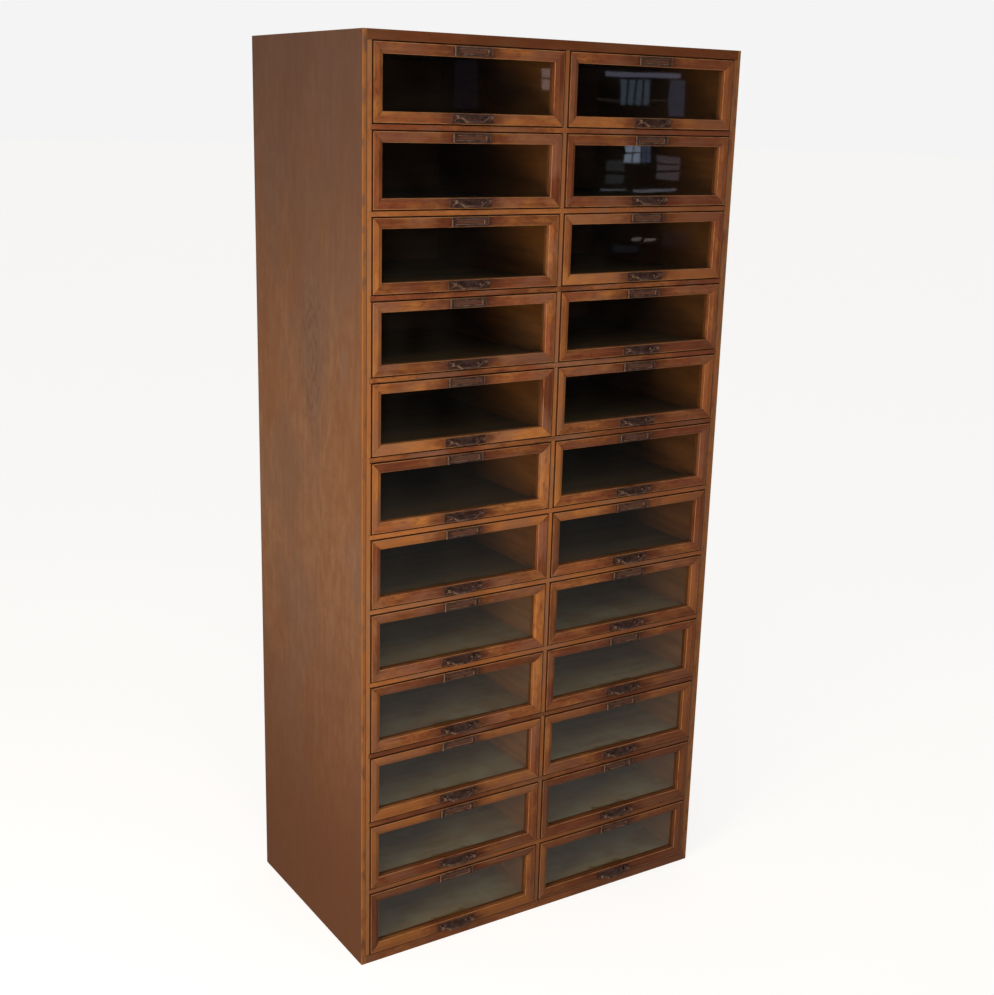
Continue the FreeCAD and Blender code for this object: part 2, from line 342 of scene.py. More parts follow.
@dataclass(frozen=True)
class Oak:
    """Planed European oak, stained and rubbed with wax: soft mottling, dark pores, a satin film.

    The colours are those of the stained board: pale where it shines through, mid where the stain
    took, dark where it lies deep, red where the old polish has gone red, worn where an arris has
    rubbed through, bloom where wax has gone milky and where a sheen is painted, gap shade for the
    painted shade and the dirt in the gaps between parts, and card-window shade for the painted
    shade inside the card frame. The strengths say how far each shows.
    """

    name: str
    pale: str
    mid: str
    dark: str
    pore: str
    worn: str
    # Milky wax, with a painted sheen.
    bloom_and_sheen: str
    red: str = "#8a4830"
    # Painted shade with grime, for the faces in the gaps between parts.
    gap_shade_and_grime: str = "#3c2011"
    # Painted shade, for inside the card frame's window.
    card_window_shade: str = "#5c4038"
    painted_shading: tuple[PaintedShading, ...] = ()
    flame: Flame | None = None
    spread: float = 1.0
    figure: float = 0.2
    fleck: float = 0.5
    cloud: float = 0.65
    redness: float = 0.7
    bloom_and_sheen_strength: float = 0.25
    unlike: float = 0.6
    roughness: float = 0.46
    specular: float = 0.22
    wax: float = 0.05
    ring: float = 7.0
    # Whether it is darkened round the brass with painted shade and grime, and in the card window with painted
    # shade.
    handled: bool = False
    slot: Slot = Slot.OAK_SHOW

    def build(self) -> Material:
        """Mix the colours of stained, waxed and worn oak.

        Returns:
            The material.
        """
        recipe = Recipe.named(self.name)
        # Fibres, 40 mm long and 2 mm wide, that break up the broad bands.
        fibres = recipe.patches((40, 2.0, 2.0), 0.30, 0.72)
        # Pores are 0.3 mm wide on real oak; drawn 0.9 mm wide and 16 mm long, so that they show.
        pores = recipe.patches((16, 0.9, 0.9), 0.58, 0.72, 0.5, detail=2.0)
        # Clouds of old stain and polish, about 120 mm long.
        clouds = recipe.patches(self._broad(120, 50), 0.42, 0.70, self.cloud)
        wood = self._stained(recipe, fibres, pores, clouds)
        if self.flame:
            wood = self._flamed(recipe, wood, self.flame)
        # Painted light and shade, laid on along the cabinet's axes.
        for shading in self.painted_shading:
            along = recipe.node("SeparateXYZ", {0: recipe.in_cabinet}).outputs[shading.axis]
            wood = recipe.layered(wood, (shading.tone, recipe.between(along, shading.start, shading.full, shading.top)))
        # Painted shade and grime round the brass, and painted shade in the card frame's window.
        if self.handled:
            wood = self._shade_and_grime_round_brass(recipe, wood)
        # Arrises are worn in stretches about 30 mm long, and the faces in the gaps between parts are
        # darkened: painted shade, with the dirt that settles there.
        arrises = recipe.between(recipe.wear_and_painted_light, 0.0, 1.0)
        stretches = recipe.patches((30, 12, 12), 0.25, 0.56)
        worn = recipe.node("Math", {0: arrises, 1: stretches}, operation="MULTIPLY")
        gap_shade_and_dirt = recipe.between(recipe.wear_and_painted_light, -0.3, -0.9, 0.92)
        # Fibres stand up a little, and pores are sunk.
        ridges = recipe.node("Math", {0: fibres, 1: 0.35}, operation="MULTIPLY")
        relief = recipe.node("Math", {0: ridges, 1: pores}, operation="SUBTRACT")
        # Pores are duller than the film between them, and clouds of polish a little glossier.
        dull = recipe.node("Math", {0: pores, 1: 0.25, 2: self.roughness}, operation="MULTIPLY_ADD")
        return recipe.finished(
            "BsdfPrincipled",
            {
                "Base Color": recipe.layered(wood, (self.worn, worn), (self.gap_shade_and_grime, gap_shade_and_dirt)),
                "Roughness": recipe.node("Math", {0: clouds, 1: -0.08, 2: dull}, operation="MULTIPLY_ADD"),
                "Specular IOR Level": self.specular,
                "Normal": recipe.node("Bump", {"Height": relief, "Distance": 0.1 * MM}),
                "Coat Weight": self.wax,
                "Coat Roughness": 0.3,
            },
        )

    def _stained(self, recipe: Recipe, fibres: Signal, pores: Signal, clouds: Signal) -> NodeSocket:
        """Stain the wood, from its mottling and growth rings to the milky wax on top.

        Args:
            recipe: The material under way.
            fibres: The mask of its fibres.
            pores: The mask of its pores.
            clouds: The mask of its clouds of old stain.

        Returns:
            Its colour.
        """
        # The stain took unevenly: mottling about 50 mm long and 20 mm wide.
        mottling = recipe.patches((50, 20, 20), 0.38, 0.62, detail=5.0)
        # Redder polish, in stretches about 150 mm long, so that no two boards match.
        red = recipe.patches(self._broad(150, 90), 0.46, 0.58, self.redness, detail=2.5)
        # Growth rings, cut at a slant: bands that wander along the board, ring millimetres apart.
        size = (26 * self.ring, self.ring, self.ring)
        cells = recipe.node("VectorMath", {0: recipe.stock, 1: size}, operation="DIVIDE")
        bands = {"Vector": cells, "Scale": 0.32, "Distortion": 6.0, "Detail": 2.0, "Detail Scale": 0.7}
        rings = recipe.node("TexWave", bands, wave_type="BANDS", bands_direction="DIAGONAL").outputs["Fac"]
        # Flecks where the stain lies deeper, 14 mm long and 6 mm wide.
        flecks = recipe.patches((14, 6, 6), 0.50, 0.68, self.fleck)
        # Wax gone milky, with a painted sheen, in blooms about 130 mm long.
        milky_and_sheen = recipe.patches(self._broad(130, 60), 0.48, 0.62, self.bloom_and_sheen_strength, detail=2.5)
        return recipe.layered(
            self.pale,
            (self.mid, mottling),
            (self.red, red),
            (self.dark, recipe.between(rings, 0.35, 1.0, self.figure)),
            (self.dark, recipe.between(fibres, 0.0, 1.0, 0.6 * self.figure)),
            (self.dark, clouds),
            (self.dark, flecks),
            (self.pore, pores),
            (self.dark, recipe.between(recipe.tone, -0.2, 1.0, self.unlike)),
            (self.pale, recipe.between(recipe.tone, 0.0, -1.0, self.unlike)),
            (self.bloom_and_sheen, milky_and_sheen),
        )

    def _broad(self, length: float, width: float) -> Triple:
        """Return the size of a broad pattern, which spreads where the boards are broad."""
        return (length * self.spread, width * self.spread, width * self.spread)

    def _flamed(self, recipe: Recipe, base: Signal, flame: Flame) -> NodeSocket:
        """Draw the rings of a flame figure, ragged along the grain and fading outwards.

        Args:
            recipe: The material under way.
            base: The wood's colour so far.
            flame: The figure.

        Returns:
            The colour with the figure in it.
        """
        distance = recipe.near(recipe.in_cabinet, flame.centre, flame.reach)
        unevenness = recipe.patches((60, 12, 12), 0.2, 0.8, 0.35)
        ragged = recipe.node("Math", {0: distance, 1: unevenness}, operation="ADD")
        turns = recipe.node("Math", {0: ragged, 1: 2 * math.pi * flame.rings}, operation="MULTIPLY")
        wave = recipe.node("Math", {0: turns}, operation="SINE")
        rings = recipe.between(wave, -0.2, 1.0, flame.strength)
        fading = recipe.between(ragged, 1.9, 0.7)
        pale = recipe.node("Math", {0: fading, 1: flame.strength}, operation="MULTIPLY")
        dark = recipe.node("Math", {0: rings, 1: fading}, operation="MULTIPLY")
        return recipe.layered(base, (self.bloom_and_sheen, pale), (self.pore, dark))

    def _shade_and_grime_round_brass(self, recipe: Recipe, base: Signal) -> NodeSocket:
        """Darken the wood of a front: painted shade and grime round the brass, and painted shade inside the
        card frame's window.

        Args:
            recipe: The material under way.
            base: The wood's colour so far.

        Returns:
            The colour with its marks.
        """
        front = recipe.node("Attribute", attribute_name="front").outputs["Vector"]
        # Painted shade and grime round each fitting.
        for brass in (CardFrame(), PullPlate()):
            distance = recipe.near(front, (0, 0, brass.centre_z), (64, 40, 16))
            unevenness = recipe.patches((24, 14, 14), 0.2, 0.8, 0.5)
            ragged = recipe.node("Math", {0: distance, 1: unevenness}, operation="ADD")
            base = recipe.layered(base, (self.dark, recipe.between(ragged, 1.75, 0.95, 0.7)))
        # Painted shade inside the card frame's window.
        card_window = recipe.near(front, (0, 0, CardFrame().centre_z), (26, 40, 3.0))
        return recipe.layered(base, (self.card_window_shade, recipe.between(card_window, 1.5, 0.8, 0.9)))


@dataclass(frozen=True)
class BareWood:
    """Wood left as it was sawn and planed, aged by dust: dull, low in contrast, never glossy."""

    name: str
    pale: str
    dark: str
    dust: str
    dust_strength: float = 0.3
    grain: float = 20.0
    roughness: float = 0.72
    slot: Slot = Slot.DRAWER_WOOD

    def build(self) -> Material:
        """Mix the colours of bare, dusty wood.

        Returns:
            The material.
        """
        recipe = Recipe.named(self.name)
        # Broad grain, and fibres drawn 2 mm wide, for real ones too fine to show.
        grain = recipe.patches((8 * self.grain, self.grain, self.grain), 0.32, 0.70)
        fibres = recipe.patches((50, 2.0, 2.0), 0.35, 0.72, 0.25)
        dust = recipe.patches((90, 80, 80), 0.35, 0.70, self.dust_strength)
        stain = recipe.between(recipe.tone, -1.0, 1.0, 0.4)
        coats = ((self.dark, grain), (self.dark, fibres), (self.dark, stain), (self.dust, dust))
        dull = recipe.node("Math", {0: dust, 1: 0.2, 2: self.roughness}, operation="MULTIPLY_ADD")
        return recipe.finished(
            "BsdfPrincipled",
            {
                "Base Color": recipe.layered(self.pale, *coats),
                "Roughness": dull,
                "Normal": recipe.node("Bump", {"Height": fibres, "Distance": 0.08 * MM}),
            },
        )


@dataclass(frozen=True)
class SheetGlass:
    """Drawn sheet glass: clear, faintly green, its reflections bent by the draw, with a film of dust."""

    name: str = "drawn_sheet_glass"
    tint: str = "#eef4f0"
    dust: str = "#8d857a"
    ior: float = 1.5
    slot: Slot = Slot.PANE_GLASS

    def build(self) -> Material:
        """Mix what the glass lets through with what it mirrors, and lay dust over both.

        Returns:
            The material.
        """
        recipe = Recipe.named(self.name)
        # The draw leaves waves about 70 mm apart; their height is a few hundredths of a millimetre.
        waves = recipe.patches((160, 70, 70), 0.2, 0.8, detail=1.0)
        bent = recipe.node("Bump", {"Height": waves, "Distance": 0.06 * MM})
        gloss = {"Color": (1, 1, 1, 1), "Roughness": 0.02, "Normal": bent}
        fresnel = recipe.node("Fresnel", {"IOR": self.ior, "Normal": bent})
        # Both skins mirror; the nearer one stands for the two, because they are only 2 mm apart.
        inside = recipe.node("NewGeometry").outputs["Backfacing"]
        skins = recipe.node("Math", {0: inside, 1: -2.0, 2: 2.0}, operation="MULTIPLY_ADD")
        pane = {
            0: recipe.node("Math", {0: fresnel, 1: skins}, operation="MULTIPLY"),
            1: recipe.node("BsdfTransparent", {"Color": self.tint}),
            2: recipe.node("BsdfGlossy", gloss),
        }
        lit_and_dusty = {
            0: recipe.patches((110, 110, 110), 0.30, 0.80, 0.012, detail=1.0),
            1: recipe.node("MixShader", pane),
            2: recipe.node("BsdfDiffuse", {"Color": self.dust}),
        }
        return recipe.finished("MixShader", lit_and_dusty)


@dataclass(frozen=True)
class AgedBrass:
    """Cast and stamped brass under a brown patina, rubbed back to metal where fingers touch it, and painted
    as bright metal for a painted highlight.
    """

    name: str = "aged_brass"
    patina: str = "#523a36"
    deep: str = "#38201a"
    metal: str = "#c8aa90"
    slot: Slot = Slot.OLD_BRASS

    def build(self) -> Material:
        """Mix the patina with the metal that is rubbed or scratched bare, or painted bright for a highlight.

        Returns:
            The material.
        """
        recipe = Recipe.named(self.name)
        # Patina grows in blots 9 mm across; scratches are drawn 1 mm wide for real hairlines.
        blots = recipe.patches((9, 9, 9), 0.36, 0.66)
        scratches = recipe.patches((9, 1.0, 1.0), 0.62, 0.74, 0.22)
        stretches = recipe.patches((14, 6, 6), 0.34, 0.60)
        wear_and_highlight = recipe.node("Math", {0: recipe.wear_and_painted_light, 1: stretches}, operation="MULTIPLY")
        bright = recipe.node("Math", {0: wear_and_highlight, 1: scratches}, operation="MAXIMUM")
        smoother = recipe.between(bright, 0.0, 1.0, 0.24)
        return recipe.finished(
            "BsdfPrincipled",
            {
                "Base Color": recipe.layered(self.patina, (self.deep, blots), (self.metal, bright)),
                "Metallic": recipe.node("Math", {0: bright, 1: 0.2}, operation="MAXIMUM"),
                "Roughness": recipe.node("Math", {0: 0.56, 1: smoother}, operation="SUBTRACT"),
                "Normal": recipe.node("Bump", {"Height": blots, "Distance": 0.05 * MM}),
            },
        )


Finish = Oak | BareWood | SheetGlass | AgedBrass


@lru_cache(maxsize=None)
def material_of(finish: Finish) -> Material:
    """Return a finish's material, made once and shared by every piece that has it."""
    return finish.build()


# Painted shade on the fronts and the carcass: redder and darker towards the right, away from the window lamp
# on the left, and darker near the floor and at the top.
FRONT_PAINTED_SHADING = (
    PaintedShading("#67382a", "X", -0.05, 0.43, 0.5),
    PaintedShading("#5a341f", "Z", 0.85, 0.0, 0.55),
    PaintedShading("#69391f", "Z", 1.4, 1.8, 0.4),
)
FRONT_OAK = Oak(
    "waxed_oak_fronts",
    pale="#bc7c40", mid="#985c33", dark="#572c1b", pore="#3a1c0e", worn="#a87b50", bloom_and_sheen="#86604f",
    painted_shading=FRONT_PAINTED_SHADING, bloom_and_sheen_strength=0.5, handled=True, slot=Slot.OAK_FRONT,
)
SHOW_OAK = Oak(
    "waxed_oak_carcass",
    pale="#b47540", mid="#925832", dark="#562d1d", pore="#3a1e10", worn="#a87b50", bloom_and_sheen="#886856",
    painted_shading=FRONT_PAINTED_SHADING, bloom_and_sheen_strength=0.5,
)
TOP_OAK = Oak(
    "dark_waxed_oak",
    pale="#714022", mid="#5d3418", dark="#3f2112", pore="#2a1609", worn="#7e532c", bloom_and_sheen="#634934",
    red="#5f301d", bloom_and_sheen_strength=0.3,
)
# Painted light and shade on the sides: greyer towards the top, for the cool light there, and darker and
# redder towards the floor.
SIDE_OAK = Oak(
    "stained_oak_sides",
    pale="#87664c", mid="#7d5b41", dark="#6a4833", pore="#563b2a", worn="#976233", bloom_and_sheen="#6c574d",
    red="#7c5437",
    painted_shading=(PaintedShading("#58443e", "Z", 1.0, 1.85, 0.7), PaintedShading("#5e371d", "Z", 0.9, 0.1, 0.8)),
    flame=Flame(centre=(-0.42, -0.025, 1.21), reach=(0.3, 0.052, 0.115)),
    spread=2.2, figure=0.15, fleck=0.25, cloud=0.35, redness=0.4, bloom_and_sheen_strength=0.35,
    roughness=0.55, wax=0.0, ring=11.0,
)
INNER_OAK = BareWood("bare_oak", "#7d5730", "#593a1e", "#655443", slot=Slot.OAK_INNER)
BOX_OAK = BareWood("drawer_side_oak", "#96582c", "#78431f", "#6a5038", dust_strength=0.2)
# A paler copy of the box wood for the lower drawers: painted light, for the stronger light inside them.
LIT_BOX_OAK = BareWood("faded_drawer_side_oak", "#a2673f", "#82502f", "#7c6248", dust_strength=0.25)
FLOOR_WOOD = BareWood("drawer_floor_wood", "#7c5b3b", "#583f29", "#6c5a48", grain=45.0)
# The lower drawers' floor: paler as painted light, and dustier.
LIT_DUSTY_FLOOR = BareWood("dusty_floor_wood", "#c29c78", "#987557", "#beb09e", dust_strength=0.6, grain=45.0)
BACK_PLY = BareWood("birch_plywood", "#9a7a54", "#775a38", "#70634f", slot=Slot.PLYWOOD)


# ------------------------------------------------------------------------------ making pieces
class Blank:
    """A piece under way, in millimetres, with the layers that its finish reads.

    Every part of it remembers the stock that it was cut from: "board" holds each point's place in
    that stock, with the grain along X, "tone" how the stock took the stain, from -1 to 1, and
    "wear_and_painted_light" how far a face is rubbed or lit by a painted highlight, up to 1, or
    darkened by painted shade and grime, down to -1. "front" is a point's place on the drawer front.
    """

    stock_spread = 4000.0
    strip_width = 1.7
    merge_distance = 0.001
    moulding_facets = 3
    flat = math.radians(1)

    def __init__(self, name: str, copied_node: str | None = None) -> None:
        """Start a piece, whose chances follow from its name alone.

        Args:
            name: Its name.
            copied_node: The frame's node that it is a merged copy of, or None to start empty.
        """
        self.name = name
        self.chance = random.Random(name)
        self.settled: set[BMVert] = set()
        self.bm = bm = bmesh.new()
        if copied_node:
            bm.from_mesh(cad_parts[copied_node].data)
        bm.verts.layers.float_vector.new("board")
        bm.verts.layers.float_vector.new("front")
        bm.verts.layers.float.new("tone")
        bm.faces.layers.float.new("wear_and_painted_light")
        if copied_node:
            bmesh.ops.remove_doubles(bm, verts=bm.verts, dist=self.merge_distance * MM)
            bmesh.ops.dissolve_limit(bm, angle_limit=self.flat, verts=bm.verts, edges=bm.edges)
            bmesh.ops.scale(bm, vec=Vector((1, 1, 1)) / MM, verts=bm.verts)

    @property
    def verts(self) -> list[BMVert]:
        """The points of the part that is being made."""
        return [vert for vert in self.bm.verts if vert not in self.settled]

    @property
    def edges(self) -> list[BMEdge]:
        """The edges of the part that is being made."""
        return [edge for edge in self.bm.edges if edge.verts[0] not in self.settled]

    @property
    def faces(self) -> list[BMFace]:
        """The faces of the part that is being made."""
        return [face for face in self.bm.faces if face.verts[0] not in self.settled]

    def bevel(
        self, geom: list, offset: float, segments: int, affect: str = "EDGES", clamp: bool = False
    ) -> None:
        """Round edges or corners.

        Args:
            geom: The edges, or the corners' points.
            offset: How far.
            segments: How many facets.
            affect: "EDGES" or "VERTICES".
            clamp: Whether it stops where two roundings meet.
        """
        bmesh.ops.bevel(
            self.bm,
            geom=geom,
            offset=offset,
            segments=segments,
            profile=0.5,
            affect=affect,
            material=-1,
            clamp_overlap=clamp,
        )

    def break_edges(self, arris: float, segments: int = 2, sharper_than: float = 40.0) -> None:
        """Round every outward edge of the part that is being made.

        Args:
            arris: How far.
            segments: How many facets.
            sharper_than: The least turn between two faces, in degrees, that counts as an edge.
        """
        least = math.radians(sharper_than)
        sharp = [e for e in self.edges if e.is_manifold and e.calc_face_angle_signed() > least]
        self.bevel(sharp, arris, segments, clamp=True)

    def push(self, faces: Sequence[BMFace], along: Vector) -> list[BMFace]:
        """Extrude faces.

        Args:
            faces: The faces.
            along: Which way and how far.

        Returns:
            The faces at the far end.
        """
        grown = bmesh.ops.extrude_face_region(self.bm, geom=list(faces))["geom"]
        bmesh.ops.translate(self.bm, vec=along, verts=only(BMVert, grown))
        bmesh.ops.recalc_face_normals(self.bm, faces=self.faces)
        return only(BMFace, grown)

    def block(self, size: Sequence[float], arris: float, segments: int = 2) -> None:
        """Plane a board about the origin and break its edges.

        Args:
            size: Its length, depth and height.
            arris: How far its edges are rounded.
            segments: How many facets round them.
        """
        made = bmesh.ops.create_cube(self.bm, size=1.0)
        bmesh.ops.scale(self.bm, vec=Vector(size), verts=made["verts"])
        self.break_edges(arris, segments)

    def sheet(self, width: float, height: float) -> list[BMVert]:
        """Lay an upright sheet about the origin, its face towards -Y.

        Args:
            width: Along X.
            height: Along Z.

        Returns:
            Its corners' points.
        """
        made = bmesh.ops.create_grid(self.bm, x_segments=1, y_segments=1, size=0.5, matrix=turned(90, "X"))
        bmesh.ops.scale(self.bm, vec=(width, 1, height), verts=made["verts"])
        return made["verts"]

    def moulding(self, length: float, profile: Sequence[Triple]) -> None:
        """Run a moulding along X, about x = 0.

        Args:
            length: Its full length.
            profile: Its corners as (y, z, radius), in order round the section.
        """
        corners = [self.bm.verts.new((-length / 2, y, z)) for y, z, _ in profile]
        self.bm.faces.new(corners)
        for corner, (_, _, radius) in zip(corners, profile):
            if radius:
                self.bevel([corner], radius, self.moulding_facets, "VERTICES")
        self.push(self.faces, length * RIGHT)

    def mitre(self, length: float, joint: float) -> None:
        """Cut both ends of the moulding at 45 degrees, from its full length at z = 0.

        Args:
            length: The moulding's full length.
            joint: How far the cut edges are broken, which draws the mitre's line.
        """
        for end in BOTH_SIDES:
            cut = bmesh.ops.bisect_plane(
                self.bm,
                geom=self.verts + self.faces + self.edges,
                dist=self.merge_distance,
                plane_co=(end * length / 2, 0, 0),
                plane_no=Vector((end, 0, 1)).normalized(),
                clear_outer=True,
            )["geom_cut"]
            cap = bmesh.ops.contextual_create(self.bm, geom=only(BMEdge, cut))["faces"]
            edges = [edge for face in cap for edge in face.edges]
            bmesh.ops.recalc_face_normals(self.bm, faces=self.faces)
            self.bevel(edges, joint, 1)

    def framed(
        self,
        size: Sequence[float],
        centre: Vector,
        profile: Sequence[Triple],
        joint: float,
        marks: Iterable[tuple[Vector, float, float]] = (),
    ) -> None:
        """Join four mitred mouldings to a frame, from the bottom one on.

        Args:
            size: The frame's width and height.
            centre: Its middle, at the mouldings' own y = 0.
            profile: The mouldings' section.
            joint: How far the mitres' edges are broken.
            marks: What each moulding is marked with, as mark() takes it.
        """
        for quarter in range(4):
            length, reach = size if quarter % 2 == 0 else reversed(size)
            self.moulding(length, profile)
            for mark in marks:
                self.mark(*mark)
            self.mitre(length, joint)
            seat = Matrix.Translation(centre) @ turned(90 * quarter, "Y")
            self.settle(seat @ Matrix.Translation((0, 0, -reach / 2)))

    def mark(self, towards: Vector, amount: float, within: float = LEANING) -> None:
        """Mark the faces that look a given way as rubbed, or as darkened by painted shade and grime.

        Args:
            towards: The way.
            amount: How far they are rubbed, or, below 0, how far painted shade and grime darken them.
            within: The least cosine between a face's own way and this one.
        """
        wear_and_painted_light = self.bm.faces.layers.float["wear_and_painted_light"]
        for face in self.faces:
            if face.normal.dot(towards) > within:
                face[wear_and_painted_light] = amount

    def settle(
        self,
        place: Matrix | None = None,
        run: Run = Run.ACROSS,
        verts: Sequence[BMVert] | None = None,
        wear_and_highlight: float = 1.0,
    ) -> None:
        """Finish a part: note its stock, mark its worn strips and set it in its place.

        Args:
            place: Where it goes, or None if it is there.
            run: Which way its grain runs, before it is placed.
            verts: Its points, or None for all that aren't settled.
            wear_and_highlight: How far its arrises are worn, or how bright a painted highlight makes them.
        """
        points = self.verts if verts is None else verts
        offset = Vector([self.chance.uniform(0, self.stock_spread) for _ in range(3)])
        tone = self.chance.uniform(-1, 1)
        board = self.bm.verts.layers.float_vector["board"]
        tones = self.bm.verts.layers.float["tone"]
        wear_and_painted_light = self.bm.faces.layers.float["wear_and_painted_light"]
        turn = run.to_stock()
        for vert in points:
            vert[board] = turn @ vert.co + offset
            vert[tones] = tone
        for face in {face for vert in points for face in vert.link_faces}:
            slender = 2 * face.calc_area() < self.strip_width * sum(edge.calc_length() for edge in face.edges)
            if slender and not face[wear_and_painted_light]:
                face[wear_and_painted_light] = wear_and_highlight
        if place is not None:
            bmesh.ops.transform(self.bm, matrix=place, verts=points)
        self.settled.update(points)

    def islands(self) -> Iterator[list[BMVert]]:
        """Part the mesh into its separate solids.

        Yields:
            The points of each solid in turn.
        """
        seen: set[BMVert] = set()
        for start in self.bm.verts:
            island = [] if start in seen else [start]
            seen.add(start)
            for vert in island:
                for edge in vert.link_edges:
                    other = edge.other_vert(vert)
                    if other not in seen:
                        seen.add(other)
                        island.append(other)
            if island:
                yield island

    def measure_front(self, centre: Vector) -> None:
        """Note each point's place on the drawer front.

        Args:
            centre: The centre of the front's face.
        """
        front = self.bm.verts.layers.float_vector["front"]
        for vert in self.bm.verts:
            vert[front] = vert.co - centre

    def make(self, finish: Finish, body: str, node: str | None = None, round_below: float = 0.0) -> None:
        """Turn the blank into a finished piece of the cabinet, at the origin.

        Args:
            finish: What it is finished with.
            body: The body that it rides on.
            node: The frame's node that it stands for, or None for the body's own.
            round_below: Faces that meet at less than this, in degrees, are shaded as one.
        """
        node = node or body
        for edge in self.bm.edges:
            edge.smooth = len(edge.link_faces) == 2 and edge.calc_face_angle() < math.radians(round_below)
        for face in self.bm.faces:
            face.smooth = round_below > 0
        bmesh.ops.scale(self.bm, vec=Vector((MM, MM, MM)), verts=self.bm.verts)
        piece = put_mesh(self.name, self.bm, material_of(finish))
        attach(piece, body)
        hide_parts(node)
        log.info("%s: %d faces, rides on %s", self.name, len(piece.data.polygons), body)


# ------------------------------------------------------------------------------ carcass
@dataclass(frozen=True)
class BoardWork:
    """How the boards of one carcass node are dressed."""

    node: str
    finish: Oak | BareWood
    run: Run
    # Which ways its faces in the gaps between parts look; they get painted shade and grime.
    shaded_and_grimy: tuple[Vector, ...] = ()
    arris: float = 0.6
    worn_face: float = 0.0


@dataclass
class Carcass:
    """The case: sides, posts, boards, rails, partition, runners, stops and back, all one body."""

    body: str = "cabinet"
    sharper_than: float = 50.0
    boards: tuple[BoardWork, ...] = (
        BoardWork("side_left", SIDE_OAK, Run.UPRIGHT, worn_face=0.75),
        BoardWork("side_right", SIDE_OAK, Run.UPRIGHT, worn_face=0.75),
        BoardWork("front_posts", SHOW_OAK, Run.UPRIGHT, (LEFT, RIGHT), worn_face=0.4),
        BoardWork("rear_posts", INNER_OAK, Run.UPRIGHT),
        BoardWork("top_board", TOP_OAK, Run.ACROSS, (DOWN,)),
        BoardWork("bottom_board", SHOW_OAK, Run.ACROSS, (UP,)),
        BoardWork("back_panel", BACK_PLY, Run.UPRIGHT, arris=0.3),
        BoardWork("centre_partition", SHOW_OAK, Run.UPRIGHT, (LEFT, RIGHT)),
        BoardWork("drawer_rails", SHOW_OAK, Run.ACROSS, (DOWN, UP)),
        BoardWork("side_runners", INNER_OAK, Run.BACKWARDS),
        BoardWork("centre_runners", INNER_OAK, Run.BACKWARDS),
        BoardWork("drawer_stops", INNER_OAK, Run.ACROSS),
    )

    def build(self) -> None:
        """Break the edges of every board, mark what is worn, darken the faces in the gaps with painted shade
        and grime, and give each its own stock.
        """
        for work in self.boards:
            blank = Blank(work.node + "_wood", work.node)
            blank.break_edges(work.arris, sharper_than=self.sharper_than)
            blank.mark(FORWARDS, work.worn_face, within=SQUARELY)
            # Faces that look into the gaps between parts: painted shade, with grime.
            for direction in work.shaded_and_grimy:
                blank.mark(direction, GAP_SHADE_AND_GRIME)
            for island in blank.islands():
                blank.settle(run=work.run, verts=island)
            blank.make(work.finish, self.body, work.node)


# ------------------------------------------------------------------------------ drawers
@dataclass(frozen=True)
class Place:
    """Where one drawer goes, in millimetres, as its own node and the rails say."""

    label: str
    row: int
    centre_x: float
    floor_z: float
    rail_y: float

    @classmethod
    def of(cls, row: int, column: str) -> "Place":
        """Find the place of a drawer, by its row from the top and its column.

        Args:
            row: 1 to 12.
            column: "left" or "right".

        Returns:
            Its place.
        """
        label = f"r{row:02d}_{column}"
        low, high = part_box("drawer_" + label)
        rail_low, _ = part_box("drawer_rails")
        lift = DrawerBox.running_clearance
        return cls(label, row, (low.x + high.x) / 2 / MM, low.z / MM - lift, rail_low.y / MM)

    @property
    def drawer(self) -> str:
        """The name of the drawer's body and node."""
        return "drawer_" + self.label

    @property
    def handle(self) -> str:
        """The name of the bail's body and node."""
        return "handle_" + self.label


